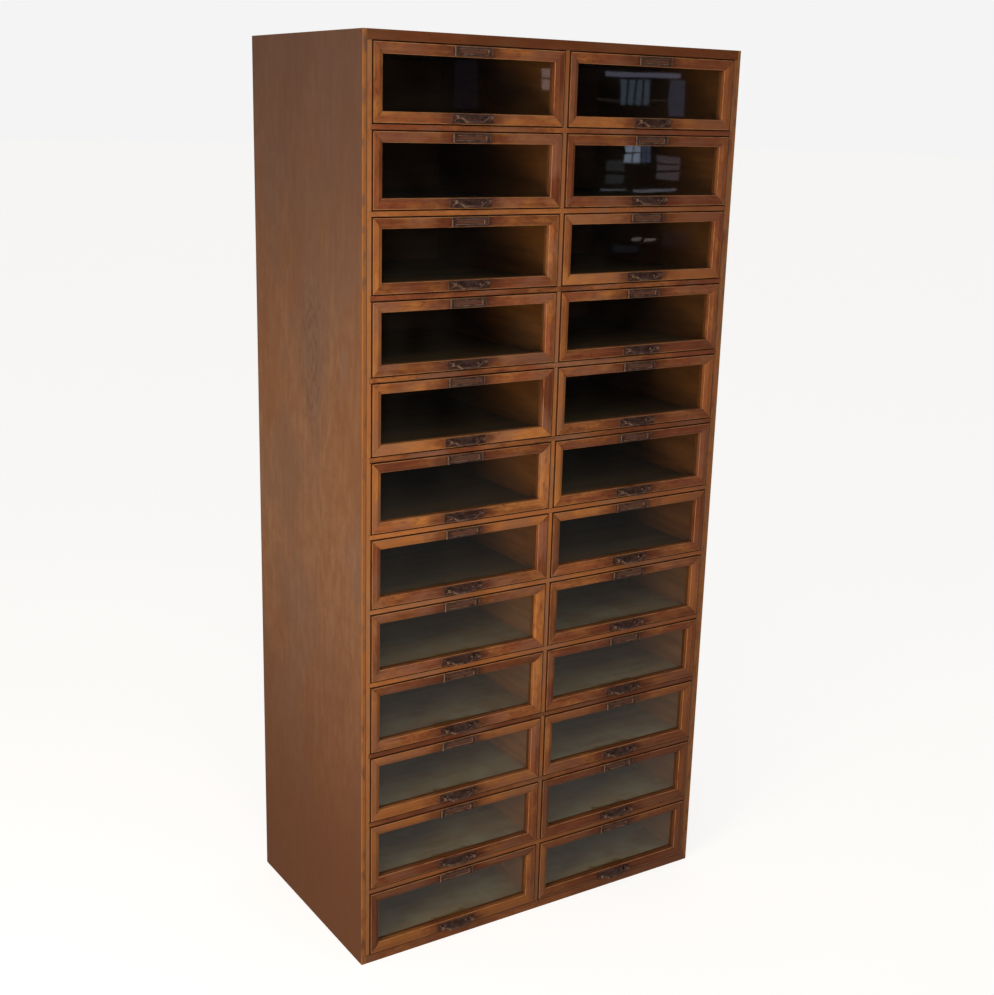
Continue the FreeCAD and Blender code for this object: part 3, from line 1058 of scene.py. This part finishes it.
@dataclass(frozen=True)
class DrawerFront:
    """The drawer's front: four moulded members, mitred round the glass, each from its own stock."""

    width: float = 398.5
    height: float = 135.333
    opening_height: float = 137.833
    proud: float = 2.0
    thickness: float = 22.0
    member: float = 20.0
    bevel: float = 8.0
    bevel_depth: float = 3.5
    rebate: float = 6.0
    rebate_depth: float = 10.0
    outer_round: float = 1.8
    inner_round: float = 0.8
    back_round: float = 0.4
    joint: float = 0.25
    ridge_rubbed: float = 0.2
    ridge_within: float = 0.985

    def back_y(self, place: Place) -> float:
        """Return where the front's back lies."""
        return place.rail_y - self.proud + self.thickness

    def centre(self, place: Place) -> Vector:
        """Return the centre of the front's face."""
        return Vector((place.centre_x, place.rail_y - self.proud, place.floor_z + self.opening_height / 2))

    @property
    def rebate_y(self) -> float:
        """How far behind the face the rebate's shelf is, which the pane lies on."""
        return self.thickness - self.rebate_depth

    @property
    def shelf(self) -> float:
        """How far the rebate's edge is from the member's outer edge."""
        return self.member - self.rebate

    def profile(self) -> list[Triple]:
        """Draw a member's section, with its face at y = 0 and its outer edge at z = 0.

        Returns:
            Its corners as (y, z, radius).
        """
        return [
            (0.0, 0.0, self.outer_round),
            (0.0, self.member - self.bevel, self.inner_round),
            (self.bevel_depth, self.member, self.inner_round),
            (self.rebate_y, self.member, self.back_round),
            (self.rebate_y, self.shelf, 0.0),
            (self.thickness, self.shelf, self.back_round),
            (self.thickness, 0.0, self.back_round),
        ]

    @property
    def ridge(self) -> Vector:
        """The way that the ridge between the flat and the bevel looks, in a member's section."""
        return (FORWARDS + Vector((0, -self.bevel, self.bevel_depth)).normalized()).normalized()

    def build(self, place: Place) -> None:
        """Mould, mitre and join the four members, darkened outside with painted shade and grime, and a little
        rubbed on the ridge.

        Args:
            place: Where the drawer goes.
        """
        blank = Blank(place.drawer + "_front")
        centre = self.centre(place)
        # The outer faces, in the gaps round the front, get painted shade and grime; the ridge is a little
        # rubbed.
        marks = ((DOWN, GAP_SHADE_AND_GRIME, LEANING), (self.ridge, self.ridge_rubbed, self.ridge_within))
        blank.framed((self.width, self.height), centre, self.profile(), self.joint, marks)
        blank.measure_front(centre)
        blank.make(FRONT_OAK, place.drawer)


@dataclass(frozen=True)
class Glazing:
    """The pane in the front's rebate, and the four mitred beads that hold it from behind."""

    front: DrawerFront = DrawerFront()
    glass: float = 2.0
    glass_arris: float = 0.2
    clearance: float = 0.5
    bead_width: float = 6.0
    bead_depth: float = 8.0
    bead_slope: float = 2.0
    bead_arris: float = 0.5
    bead_joint: float = 0.2

    def build(self, place: Place) -> None:
        """Cut the pane, a clearance smaller than its rebate, and run the beads.

        The beads are square stock, eased on the side that shows through the glass.

        Args:
            place: Where the drawer goes.
        """
        front = self.front
        centre = front.centre(place)
        pane = Blank(place.drawer + "_pane")
        margin = 2 * (front.shelf + self.clearance)
        pane.block((front.width - margin, self.glass, front.height - margin), self.glass_arris, 1)
        pane.settle(Matrix.Translation(centre + Vector((0, front.rebate_y + self.glass / 2, 0))))
        pane.make(SheetGlass(), place.drawer)
        back, inset = front.thickness, 2 * front.shelf
        profile = [
            (back - self.bead_depth, 0.0, 0.0),
            (back - self.bead_depth, self.bead_width, self.bead_arris),
            (back - self.bead_slope, self.bead_width, self.bead_arris),
            (back, self.bead_width - self.bead_slope, self.bead_arris),
            (back, 0.0, 0.0),
        ]
        beads = Blank(place.drawer + "_beads")
        beads.framed((front.width - inset, front.height - inset), centre, profile, self.bead_joint)
        beads.make(BOX_OAK, place.drawer)


@dataclass(frozen=True)
class DrawerBox:
    """The box behind the front: two grooved sides, a back and a thin floor."""

    front: DrawerFront = DrawerFront()
    running_clearance: float = 0.3
    width: float = 398.0
    height: float = 129.533
    length: float = 424.0
    board: float = 9.0
    floor: float = 4.0
    floor_lift: float = 7.0
    floor_arris: float = 0.3
    groove: float = 4.5
    back_drop: float = 6.0
    arris: float = 0.8
    # From this row down, paler copies of the box woods stand for painted light, with more dust on the floor.
    lit_from_row: int = 8

    def build(self, place: Place) -> None:
        """Make the boards of the box; the lower drawers' boards are paler, as painted light, and their floors
        dustier.

        Args:
            place: Where the drawer goes.
        """
        lit_and_dusty = place.row >= self.lit_from_row
        front_y = self.front.back_y(place)
        low = place.floor_z + self.running_clearance
        self._sides_and_back(place, front_y, low, LIT_BOX_OAK if lit_and_dusty else BOX_OAK)
        floor = Blank(place.drawer + "_floor")
        width = self.width - 2 * (self.board - self.groove)
        floor.block((width, self.length, self.floor), self.floor_arris, 1)
        z = low + self.floor_lift + self.floor / 2
        floor.settle(Matrix.Translation((place.centre_x, front_y + self.length / 2, z)))
        floor.make(LIT_DUSTY_FLOOR if lit_and_dusty else FLOOR_WOOD, place.drawer)

    def _sides_and_back(self, place: Place, front_y: float, low: float, finish: BareWood) -> None:
        """Groove the sides for the floor and set the back between them.

        Args:
            place: Where the drawer goes.
            front_y: Where the box begins, behind the front.
            low: Where its lower edges are.
            finish: Its finish.
        """
        blank = Blank(place.drawer + "_box")
        groove_top = self.floor_lift + self.floor
        groove_y = self.board - self.groove
        # The section of a side: y runs inwards from its outer face, z up from its lower edge.
        section = [
            (0.0, 0.0, self.arris),
            (self.board, 0.0, self.arris),
            (self.board, self.floor_lift, 0.0),
            (groove_y, self.floor_lift, 0.0),
            (groove_y, groove_top, 0.0),
            (self.board, groove_top, 0.0),
            (self.board, self.height, self.arris),
            (0.0, self.height, self.arris),
        ]
        for side in BOTH_SIDES:
            blank.moulding(self.length, section)
            outer = (place.centre_x + side * self.width / 2, front_y + self.length / 2, low)
            blank.settle(Matrix.Translation(outer) @ turned(90 * side, "Z"))
        back_height = self.height - self.back_drop - groove_top
        blank.block((self.width - 2 * self.board, self.board, back_height), self.arris)
        back_y = front_y + self.length - self.board / 2
        blank.settle(Matrix.Translation((place.centre_x, back_y, low + groove_top + back_height / 2)))
        blank.make(finish, place.drawer)


# ------------------------------------------------------------------------------ brass
@dataclass(frozen=True)
class Screw:
    """A small slotted round-head screw, seen by its head alone."""

    radius: float = 2.1
    rise: float = 0.9
    crown: float = 0.62
    slot_width: float = 0.55
    slot_depth: float = 0.5
    facets: int = 12
    wear_and_highlight: float = 0.6

    def add_to(self, blank: Blank, x: float, y: float, z: float) -> None:
        """Drive a screw into a face that looks towards -Y.

        Args:
            blank: The piece that it holds, which it is joined to.
            x: Across.
            y: The face.
            z: Up.
        """
        bm = blank.bm
        crown = self.radius * self.crown
        bmesh.ops.create_cone(
            bm, cap_ends=True, segments=self.facets, radius1=self.radius, radius2=crown, depth=self.rise
        )
        for side in BOTH_SIDES:
            top = self._top(blank)
            parts = top + [edge for face in top for edge in face.edges]
            parts += [vert for face in top for vert in face.verts]
            cut_at = side * self.slot_width / 2 * RIGHT
            bmesh.ops.bisect_plane(bm, geom=list(dict.fromkeys(parts)), plane_co=cut_at, plane_no=RIGHT)
        middle = self.slot_width / 4
        slot = [face for face in self._top(blank) if abs(face.calc_center_median().x) < middle]
        blank.push(slot, self.slot_depth * DOWN)
        angle = blank.chance.uniform(0, math.pi)
        turn = turned(90, "X") @ Matrix.Rotation(angle, 4, "Z")
        blank.settle(Matrix.Translation((x, y - self.rise / 2, z)) @ turn, wear_and_highlight=self.wear_and_highlight)

    def _top(self, blank: Blank) -> list[BMFace]:
        """Return the faces of the head's top, while it looks along +Z."""
        return [face for face in blank.faces if face.normal.z > SQUARELY]


@dataclass(frozen=True)
class Fitting(ABC):
    """What both fittings of a front share: a brass plate in the middle of a member, held by screws."""

    label: str
    front: DrawerFront = DrawerFront()
    member_end: int = 1
    width: float = 80.0
    height: float = 17.0
    thickness: float = 1.5
    edge_distance: float = 1.6
    screw: Screw = Screw()
    screw_x: float = 33.6
    wear_and_highlight: float = 0.1
    # The left end is painted bright metal, a painted highlight; the right end is a little rubbed.
    end_wear_and_highlights: tuple[float, float] = (0.6, 0.1)
    shaded_below: float = 35.0

    @property
    def centre_z(self) -> float:
        """Height of its middle above the front's centre: member_end is 1 at the top, -1 at the foot."""
        return self.member_end * (self.front.height / 2 - self.edge_distance - self.height / 2)

    @abstractmethod
    def shape_plate(self, blank: Blank) -> None:
        """Shape the plate about the origin, with its back at y = 0."""

    @abstractmethod
    def shape_end(self, blank: Blank, side: int) -> Triple:
        """Shape what one end has, about the origin, and return its place on the plate."""

    def build(self, place: Place) -> None:
        """Shape the plate, add what each end has, and screw it on.

        Args:
            place: Where the drawer goes.
        """
        blank = Blank(f"{place.drawer}_{self.label}")
        centre = self.front.centre(place) + Vector((0, 0, self.centre_z))
        seat = Matrix.Translation(centre)
        self.shape_plate(blank)
        blank.settle(seat, wear_and_highlight=self.wear_and_highlight)
        for side, wear_and_highlight in zip(BOTH_SIDES, self.end_wear_and_highlights):
            offset = self.shape_end(blank, side)
            blank.settle(seat @ Matrix.Translation(offset), wear_and_highlight=wear_and_highlight)
            self.screw.add_to(blank, centre.x + side * self.screw_x, centre.y - self.thickness, centre.z)
        blank.measure_front(self.front.centre(place))
        blank.make(AgedBrass(), place.drawer, round_below=self.shaded_below)


@dataclass(frozen=True)
class CardFrame(Fitting):
    """The stamped card frame on the top member: a flat ring with a rolled rim and two end lips."""

    label: str = "card_frame"
    screw: Screw = Screw(radius=1.5, rise=0.7)
    window_width: float = 60.0
    window_height: float = 7.0
    rim_rise: float = 0.9
    rim_slope: float = 1.1
    rim_arris: float = 0.35
    rim_rubbed: float = 0.3
    rim_margin: float = 0.4
    rim_sharper_than: float = 25.0
    backward_tilt: float = 0.1
    lip_width: float = 3.0
    lip_rise: float = 2.2
    lip_arris: float = 0.7
    lip_margin: float = 0.4

    def shape_plate(self, blank: Blank) -> None:
        """Cut the window out of the plate, raise the rim round it and rub the rim's inner slope.

        Args:
            blank: The empty piece.
        """
        bm = blank.bm
        blank.sheet(self.width, self.height)
        window = blank.faces
        margin = (self.height - self.window_height) / 2
        bmesh.ops.inset_region(bm, faces=window, thickness=margin, use_boundary=True, use_even_offset=True)
        inner = [vert for face in window for vert in face.verts]
        stretch = self.window_width / (self.width - 2 * margin)
        bmesh.ops.scale(bm, vec=(stretch, 1, 1), verts=inner)
        bmesh.ops.delete(bm, geom=window, context="FACES_ONLY")
        raised = blank.push(blank.faces, self.thickness * FORWARDS)
        bmesh.ops.inset_region(
            bm, faces=raised, thickness=self.rim_slope, depth=self.rim_rise, use_even_offset=True
        )
        blank.break_edges(self.rim_arris, sharper_than=self.rim_sharper_than)
        wear_and_painted_light = bm.faces.layers.float["wear_and_painted_light"]
        for face in blank.faces:
            middle = face.calc_center_median()
            out = max(abs(middle.x) - self.window_width / 2, abs(middle.z) - self.window_height / 2)
            if out < self.rim_slope + self.rim_margin and face.normal.y < self.backward_tilt:
                face[wear_and_painted_light] = self.rim_rubbed

    def shape_end(self, blank: Blank, side: int) -> Triple:
        """Turn up the lip of one end, about the origin.

        Args:
            blank: The plate that it grows from.
            side: The end that it is for.

        Returns:
            Its place on the plate.
        """
        depth = self.thickness + self.lip_rise
        blank.block((self.lip_width, depth, self.height - self.lip_margin), self.lip_arris)
        return (side * (self.width - self.lip_width) / 2, -depth / 2, 0)


@dataclass(frozen=True)
class PullPlate(Fitting):
    """The cast plate of the pull, with a tapered ear near each end, the left one painted bright as a
    highlight.
    """

    label: str = "pull_plate"
    member_end: int = -1
    width: float = 88.0
    edge_distance: float = 2.4
    screw_x: float = 25.0
    wear_and_highlight: float = 0.15
    # The left ear is painted bright metal as a highlight; the right ear is a little rubbed.
    end_wear_and_highlights: tuple[float, float] = (1.0, 0.2)
    corner: float = 2.0
    corner_facets: int = 4
    arris: float = 0.5
    ear_inset: float = 5.0
    ear_width: float = 6.5
    ear_root: float = 12.0
    ear_arris: float = 0.9
    ear_facets: int = 3
    nose: float = 3.4
    nose_facets: int = 16
    standoff: float = 9.0
    pivot_rise: float = 2.5

    @property
    def ear_inner_x(self) -> float:
        """How far from the middle the ears' inner faces are."""
        return self.width / 2 - self.ear_inset - self.ear_width

    def pivot(self, place: Place) -> Vector:
        """Return the middle of the bail's axis."""
        reach = self.thickness + self.standoff
        return self.front.centre(place) + Vector((0, -reach, self.centre_z + self.pivot_rise))

    def shape_plate(self, blank: Blank) -> None:
        """Cast the plate, with its back at y = 0.

        Args:
            blank: The empty piece.
        """
        blank.bevel(blank.sheet(self.width, self.height), self.corner, self.corner_facets, "VERTICES")
        blank.push(blank.faces, self.thickness * FORWARDS)
        blank.break_edges(self.arris)

    def shape_end(self, blank: Blank, side: int) -> Triple:
        """Shape an ear about x = 0: its root on y = 0, its nose round the bail's axis.

        Args:
            blank: The plate that it grows from.
            side: The end that it is for.

        Returns:
            Its place on the plate.
        """
        bm = blank.bm
        nose_place = Matrix.Translation((0, -self.standoff, self.pivot_rise)) @ turned(90, "Y")
        for x in (-self.ear_width / 2, self.ear_width / 2):
            face_place = Matrix.Translation((x, 0, 0)) @ nose_place
            bmesh.ops.create_circle(bm, segments=self.nose_facets, radius=self.nose, matrix=face_place)
            for z in (-self.ear_root / 2, self.ear_root / 2):
                bm.verts.new((x, 0.0, z))
        hull = bmesh.ops.convex_hull(bm, input=blank.verts)
        spare = only(BMVert, hull["geom_interior"] + hull["geom_unused"])
        bmesh.ops.delete(bm, geom=list(dict.fromkeys(spare)), context="VERTS")
        bmesh.ops.dissolve_limit(bm, angle_limit=blank.flat, verts=blank.verts, edges=blank.edges)
        blank.break_edges(self.ear_arris, self.ear_facets)
        return (side * (self.ear_inner_x + self.ear_width / 2), -self.thickness, 0)


@dataclass(frozen=True)
class Bail:
    """The pull's bail: a round bar bent to a dropped loop, its ends turned out as pins."""

    plate: PullPlate = PullPlate()
    bar: float = 4.0
    drop: float = 8.0
    straight: float = 34.0
    pin_length: float = 4.5
    end_clearance: float = 0.4
    bend_radius: float = 5.0
    bend_steps: int = 5
    facets: int = 16
    shaded_below: float = 50.0
    wear_and_highlight: float = 0.06
    # The left bend is painted bright metal as a highlight, fading along the bar by this much per bend radius.
    highlight_fades: float = 0.45
    merge_distance: float = 0.01

    def build(self, place: Place) -> None:
        """Bend one half of the bar, mirror it and hang it in the ears, its left bend painted bright as a
        highlight.

        Args:
            place: Where the drawer goes.
        """
        blank = Blank(place.handle + "_bail")
        bm = blank.bm
        pin_end = self.plate.ear_inner_x + self.pin_length - self.end_clearance
        elbow = self.plate.ear_inner_x - self.end_clearance - self.bar / 2
        run_in = elbow - self.straight / 2
        fall = math.atan2(self.drop, run_in)
        tangent = self.bend_radius * math.tan(fall / 2)
        slope = math.hypot(self.drop, run_in) - 2 * tangent
        start = Matrix.Translation((-pin_end, 0, 0)) @ turned(90, "Y")
        bmesh.ops.create_circle(bm, cap_ends=True, segments=self.facets, radius=self.bar / 2, matrix=start)
        end = blank.push(list(bm.faces), (pin_end - elbow - tangent) * RIGHT)
        end = self._bend(blank, end, fall, 0.0)
        end = blank.push(end, slope * Vector((math.cos(fall), 0, -math.sin(fall))))
        end = self._bend(blank, end, -fall, fall)
        end = blank.push(end, end[0].calc_center_median().x * LEFT)
        bmesh.ops.delete(bm, geom=end, context="FACES_ONLY")
        half = bm.verts[:] + bm.edges[:] + bm.faces[:]
        bmesh.ops.mirror(bm, geom=half, axis="X", merge_dist=self.merge_distance)
        bmesh.ops.recalc_face_normals(bm, faces=bm.faces)
        # Painted highlight: bright metal on the left bend, fading along the bar.
        wear_and_painted_light = bm.faces.layers.float["wear_and_painted_light"]
        for face in bm.faces:
            off_bend = abs(face.calc_center_median().x + self.straight / 2) / self.bend_radius
            face[wear_and_painted_light] = max(self.wear_and_highlight, 1.0 - self.highlight_fades * off_bend)
        blank.settle(Matrix.Translation(self.plate.pivot(place)))
        blank.measure_front(self.plate.front.centre(place))
        blank.make(AgedBrass(), place.handle, round_below=self.shaded_below)

    def _bend(self, blank: Blank, end: list[BMFace], angle: float, heading: float) -> list[BMFace]:
        """Carry the bar's end round a bend.

        Args:
            blank: The bar under way.
            end: Its end face.
            angle: How far it turns down, in radians; it turns up where this is negative.
            heading: How far below the horizontal it already runs.

        Returns:
            The new end face.
        """
        side = math.copysign(self.bend_radius, angle)
        middle = end[0].calc_center_median() - side * Vector((math.sin(heading), 0, math.cos(heading)))
        spun = bmesh.ops.spin(
            blank.bm, geom=end, cent=middle, axis=(0, 1, 0), angle=angle, steps=self.bend_steps
        )
        return only(BMFace, spun["geom_last"])


# ------------------------------------------------------------------------------ studio
@dataclass(frozen=True)
class Softbox:
    """One soft light: where it hangs, how large, bright and warm it is, and whether gloss mirrors it."""

    name: str
    place: Triple
    width: float
    height: float
    power: float
    tint: str
    aim: Triple = (0.0, 0.0, 0.9)
    mirrored: bool = True

    def hang(self) -> None:
        """Hang the light and aim it."""
        lamp = bpy.data.lights.new(self.name, "AREA")
        lamp.shape = "RECTANGLE"
        lamp.size = self.width
        lamp.size_y = self.height
        lamp.energy = self.power
        lamp.color = colour(self.tint)[:3]
        holder = put(self.name, lamp)
        holder.location = self.place
        direction = Vector(self.aim) - Vector(self.place)
        holder.rotation_euler = direction.to_track_quat("-Z", "Y").to_euler()
        holder.visible_camera = False
        holder.visible_glossy = self.mirrored


@dataclass(frozen=True)
class RoomWindow:
    """A window or pale thing across the room: it lights nothing, and shows only where it is mirrored."""

    left: float
    right: float
    low: float
    high: float
    tint: str
    glow: float = 1.0
    columns: int = 1
    rows: int = 1
    bar: float = 0.0
    distance: float = 5.0

    def put_up(self, name: str) -> None:
        """Stand its panes upright, facing the cabinet, with bars between them.

        Args:
            name: Its name.
        """
        bm = bmesh.new()
        width = (self.right - self.left - self.bar * (self.columns - 1)) / self.columns
        height = (self.high - self.low - self.bar * (self.rows - 1)) / self.rows
        upright = turned(-90, "X") @ Matrix.Diagonal((width, height, 1, 1))
        for column in range(self.columns):
            for row in range(self.rows):
                x = self.left + width / 2 + column * (width + self.bar)
                z = self.low + height / 2 + row * (height + self.bar)
                place = Matrix.Translation((x, -self.distance, z)) @ upright
                bmesh.ops.create_grid(bm, x_segments=1, y_segments=1, size=0.5, matrix=place)
        glow = {"Color": self.tint, "Strength": self.glow}
        pane = put_mesh(name, bm, Recipe.named(name + "_glow").finished("Emission", glow))
        pane.visible_camera = pane.visible_diffuse = pane.visible_shadow = False
        pane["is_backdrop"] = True


@dataclass(frozen=True)
class Camera:
    """A hand-held camera at eye level, left of the cabinet, looking down along it."""

    place: Triple = (-1.5719, -2.4578, 1.6699)
    yaw: float = 32.99
    pitch: float = -15.33
    roll: float = 1.58
    lens: float = 50.91
    sensor: float = 36.0

    def mount(self) -> None:
        """Set up the camera and make it the scene's own."""
        data = bpy.data.cameras.new("eye_level")
        data.lens = self.lens
        data.sensor_width = self.sensor
        turn = turned(-self.yaw, "Z") @ turned(90 + self.pitch, "X") @ turned(self.roll, "Z")
        camera = put("eye_level", data)
        camera.matrix_world = Matrix.Translation(self.place) @ turn
        bpy.context.scene.camera = camera


@dataclass(frozen=True)
class Studio:
    """The plain surroundings: a lit pale floor, a pale backdrop, a dim room in front, and soft lights.

    The camera meets the backdrop and the floor alone. The cabinet is lit by the lamps and by the
    room's own light, which comes mostly from above, and it mirrors the room: dark at eye level,
    and paler the more steeply one looks down on the room's floor.
    """

    floor_reach: float = 60.0
    floor_tone: str = "#959593"
    floor_glow: float = 0.80
    backdrop: str = "#f4f4f4"
    room_above: str = "#b0aaa4"
    room_below: str = "#a89a8b"
    horizon: tuple[float, float] = (-0.1, 0.1)
    mirrored_dark: str = "#1a1919"
    mirrored_floor: str = "#95918b"
    mirrored_from_to: tuple[float, float] = (-0.18, -0.46)
    lights: tuple[Softbox, ...] = (
        Softbox("key", (-1.5, -2.4, 2.9), 1.8, 1.4, 22.0, "#fff1e0"),
        Softbox("left_window", (-2.45, -1.2, 0.9), 0.9, 0.8, 52.0, "#ffead4", (-0.3, -0.1, 0.9), False),
        Softbox("overhead", (0.0, -1.2, 4.0), 3.0, 2.0, 12.0, "#fff8f0", (0.0, -0.2, 0.0)),
    )
    windows: tuple[RoomWindow, ...] = (
        RoomWindow(3.78, 4.00, 1.735, 1.885, "#9fb6cf", 0.75, 4, 1, 0.016),
        RoomWindow(3.66, 4.24, 1.90, 1.93, "#a9a9c4", 1.3),
        RoomWindow(4.16, 4.28, 1.67, 1.89, "#8e99b8", 0.6),
        RoomWindow(3.60, 4.16, 1.752, 1.760, "#a3968c", 0.5),
        RoomWindow(3.84, 3.952, 1.385, 1.505, "#c9d9f2", 1.9, 2, 2, 0.010),
        RoomWindow(3.965, 4.035, 1.385, 1.505, "#8fa3cc", 0.9, 2, 2, 0.008),
        RoomWindow(4.09, 4.27, 1.29, 1.43, "#8f828c", 1.2, 1, 3, 0.012),
        RoomWindow(3.70, 3.84, 1.27, 1.40, "#6f7377", 0.8, 1, 2, 0.02),
        RoomWindow(3.66, 3.86, 1.225, 1.237, "#b9bdd0"),
        RoomWindow(3.92, 4.26, 1.222, 1.238, "#b9bdd0", 1.1),
        RoomWindow(3.925, 3.995, 0.921, 0.934, "#c8b9b4", 1.2),
        RoomWindow(4.02, 4.11, 0.912, 0.926, "#c8b9b4", 1.4),
        RoomWindow(3.78, 3.98, 0.85, 0.90, "#5a6070", 0.45),
        RoomWindow(4.17, 4.40, 0.87, 0.97, "#4a4a58", 0.4),
        RoomWindow(3.205, 3.316, 1.80, 1.915, "#c8b2b4", 1.6, 1, 2, 0.012),
        RoomWindow(2.62, 2.77, 1.68, 1.94, "#6a6478", 0.25),
    )

    def set_up(self) -> None:
        """Lay the floor, light the room and mount the camera."""
        self._lay_floor()
        self._light_room()
        for light in self.lights:
            light.hang()
        for number, window in enumerate(self.windows, start=1):
            window.put_up(f"room_window_{number:02d}")
        Camera().mount()
        bpy.context.scene.view_settings.view_transform = "Standard"

    def _lay_floor(self) -> None:
        """Lay a large pale floor that glows a little, as a light table does."""
        bm = bmesh.new()
        bmesh.ops.create_grid(bm, x_segments=1, y_segments=1, size=self.floor_reach)
        paint = {"Base Color": self.floor_tone, "Roughness": 0.9}
        paint |= {"Emission Color": (1, 1, 1, 1), "Emission Strength": self.floor_glow}
        floor = put_mesh("pale_floor", bm, Recipe.named("pale_floor_sheet").finished("BsdfPrincipled", paint))
        floor.visible_diffuse = floor.visible_glossy = False
        floor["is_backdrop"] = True

    def _light_room(self) -> None:
        """Give the world its three faces: the backdrop, the room's light and the room's mirror image."""
        recipe = Recipe(bpy.data.worlds.new("pale_room"))
        direction = recipe.node("TexCoord").outputs["Generated"]
        height = recipe.node("SeparateXYZ", {0: direction}).outputs["Z"]
        path = recipe.node("LightPath").outputs
        lit = recipe.layered(self.room_below, (self.room_above, recipe.between(height, *self.horizon)))
        steep = recipe.between(height, *self.mirrored_from_to)
        mirrored = recipe.layered(self.mirrored_dark, (self.mirrored_floor, steep))
        faces = ((mirrored, path["Is Glossy Ray"]), (self.backdrop, path["Is Camera Ray"]))
        bpy.context.scene.world = recipe.finished("Background", {"Color": recipe.layered(lit, *faces)})


# ------------------------------------------------------------------------------ the whole
@dataclass
class Cabinet:
    """The whole cabinet, from the case to the bails."""

    carcass: Carcass
    drawer: tuple[DrawerFront | Glazing | DrawerBox | Fitting | Bail, ...] = (
        DrawerFront(),
        Glazing(),
        DrawerBox(),
        CardFrame(),
        PullPlate(),
        Bail(),
    )

    def build(self) -> None:
        """Dress the case and fill it with its drawers."""
        self.carcass.build()
        for row in ROWS:
            for column in COLUMNS:
                place = Place.of(row, column)
                for part in self.drawer:
                    part.build(place)


def write_sizes() -> None:
    """Gather the construction model's box and the dressed model's box as plain lists, which are not kept.
    """
    boxes = {"cad": CAD_BOX, "visual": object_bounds()}
    {name: [list(corner) for corner in box] for name, box in boxes.items()}


def main() -> None:
    """Set up the studio and build the cabinet; its size is gathered but not kept."""
    logging.basicConfig(level=logging.INFO, format="%(name)s: %(message)s")
    Studio().set_up()
    Cabinet(Carcass()).build()
    write_sizes()


if __name__ == "__main__":
    main()
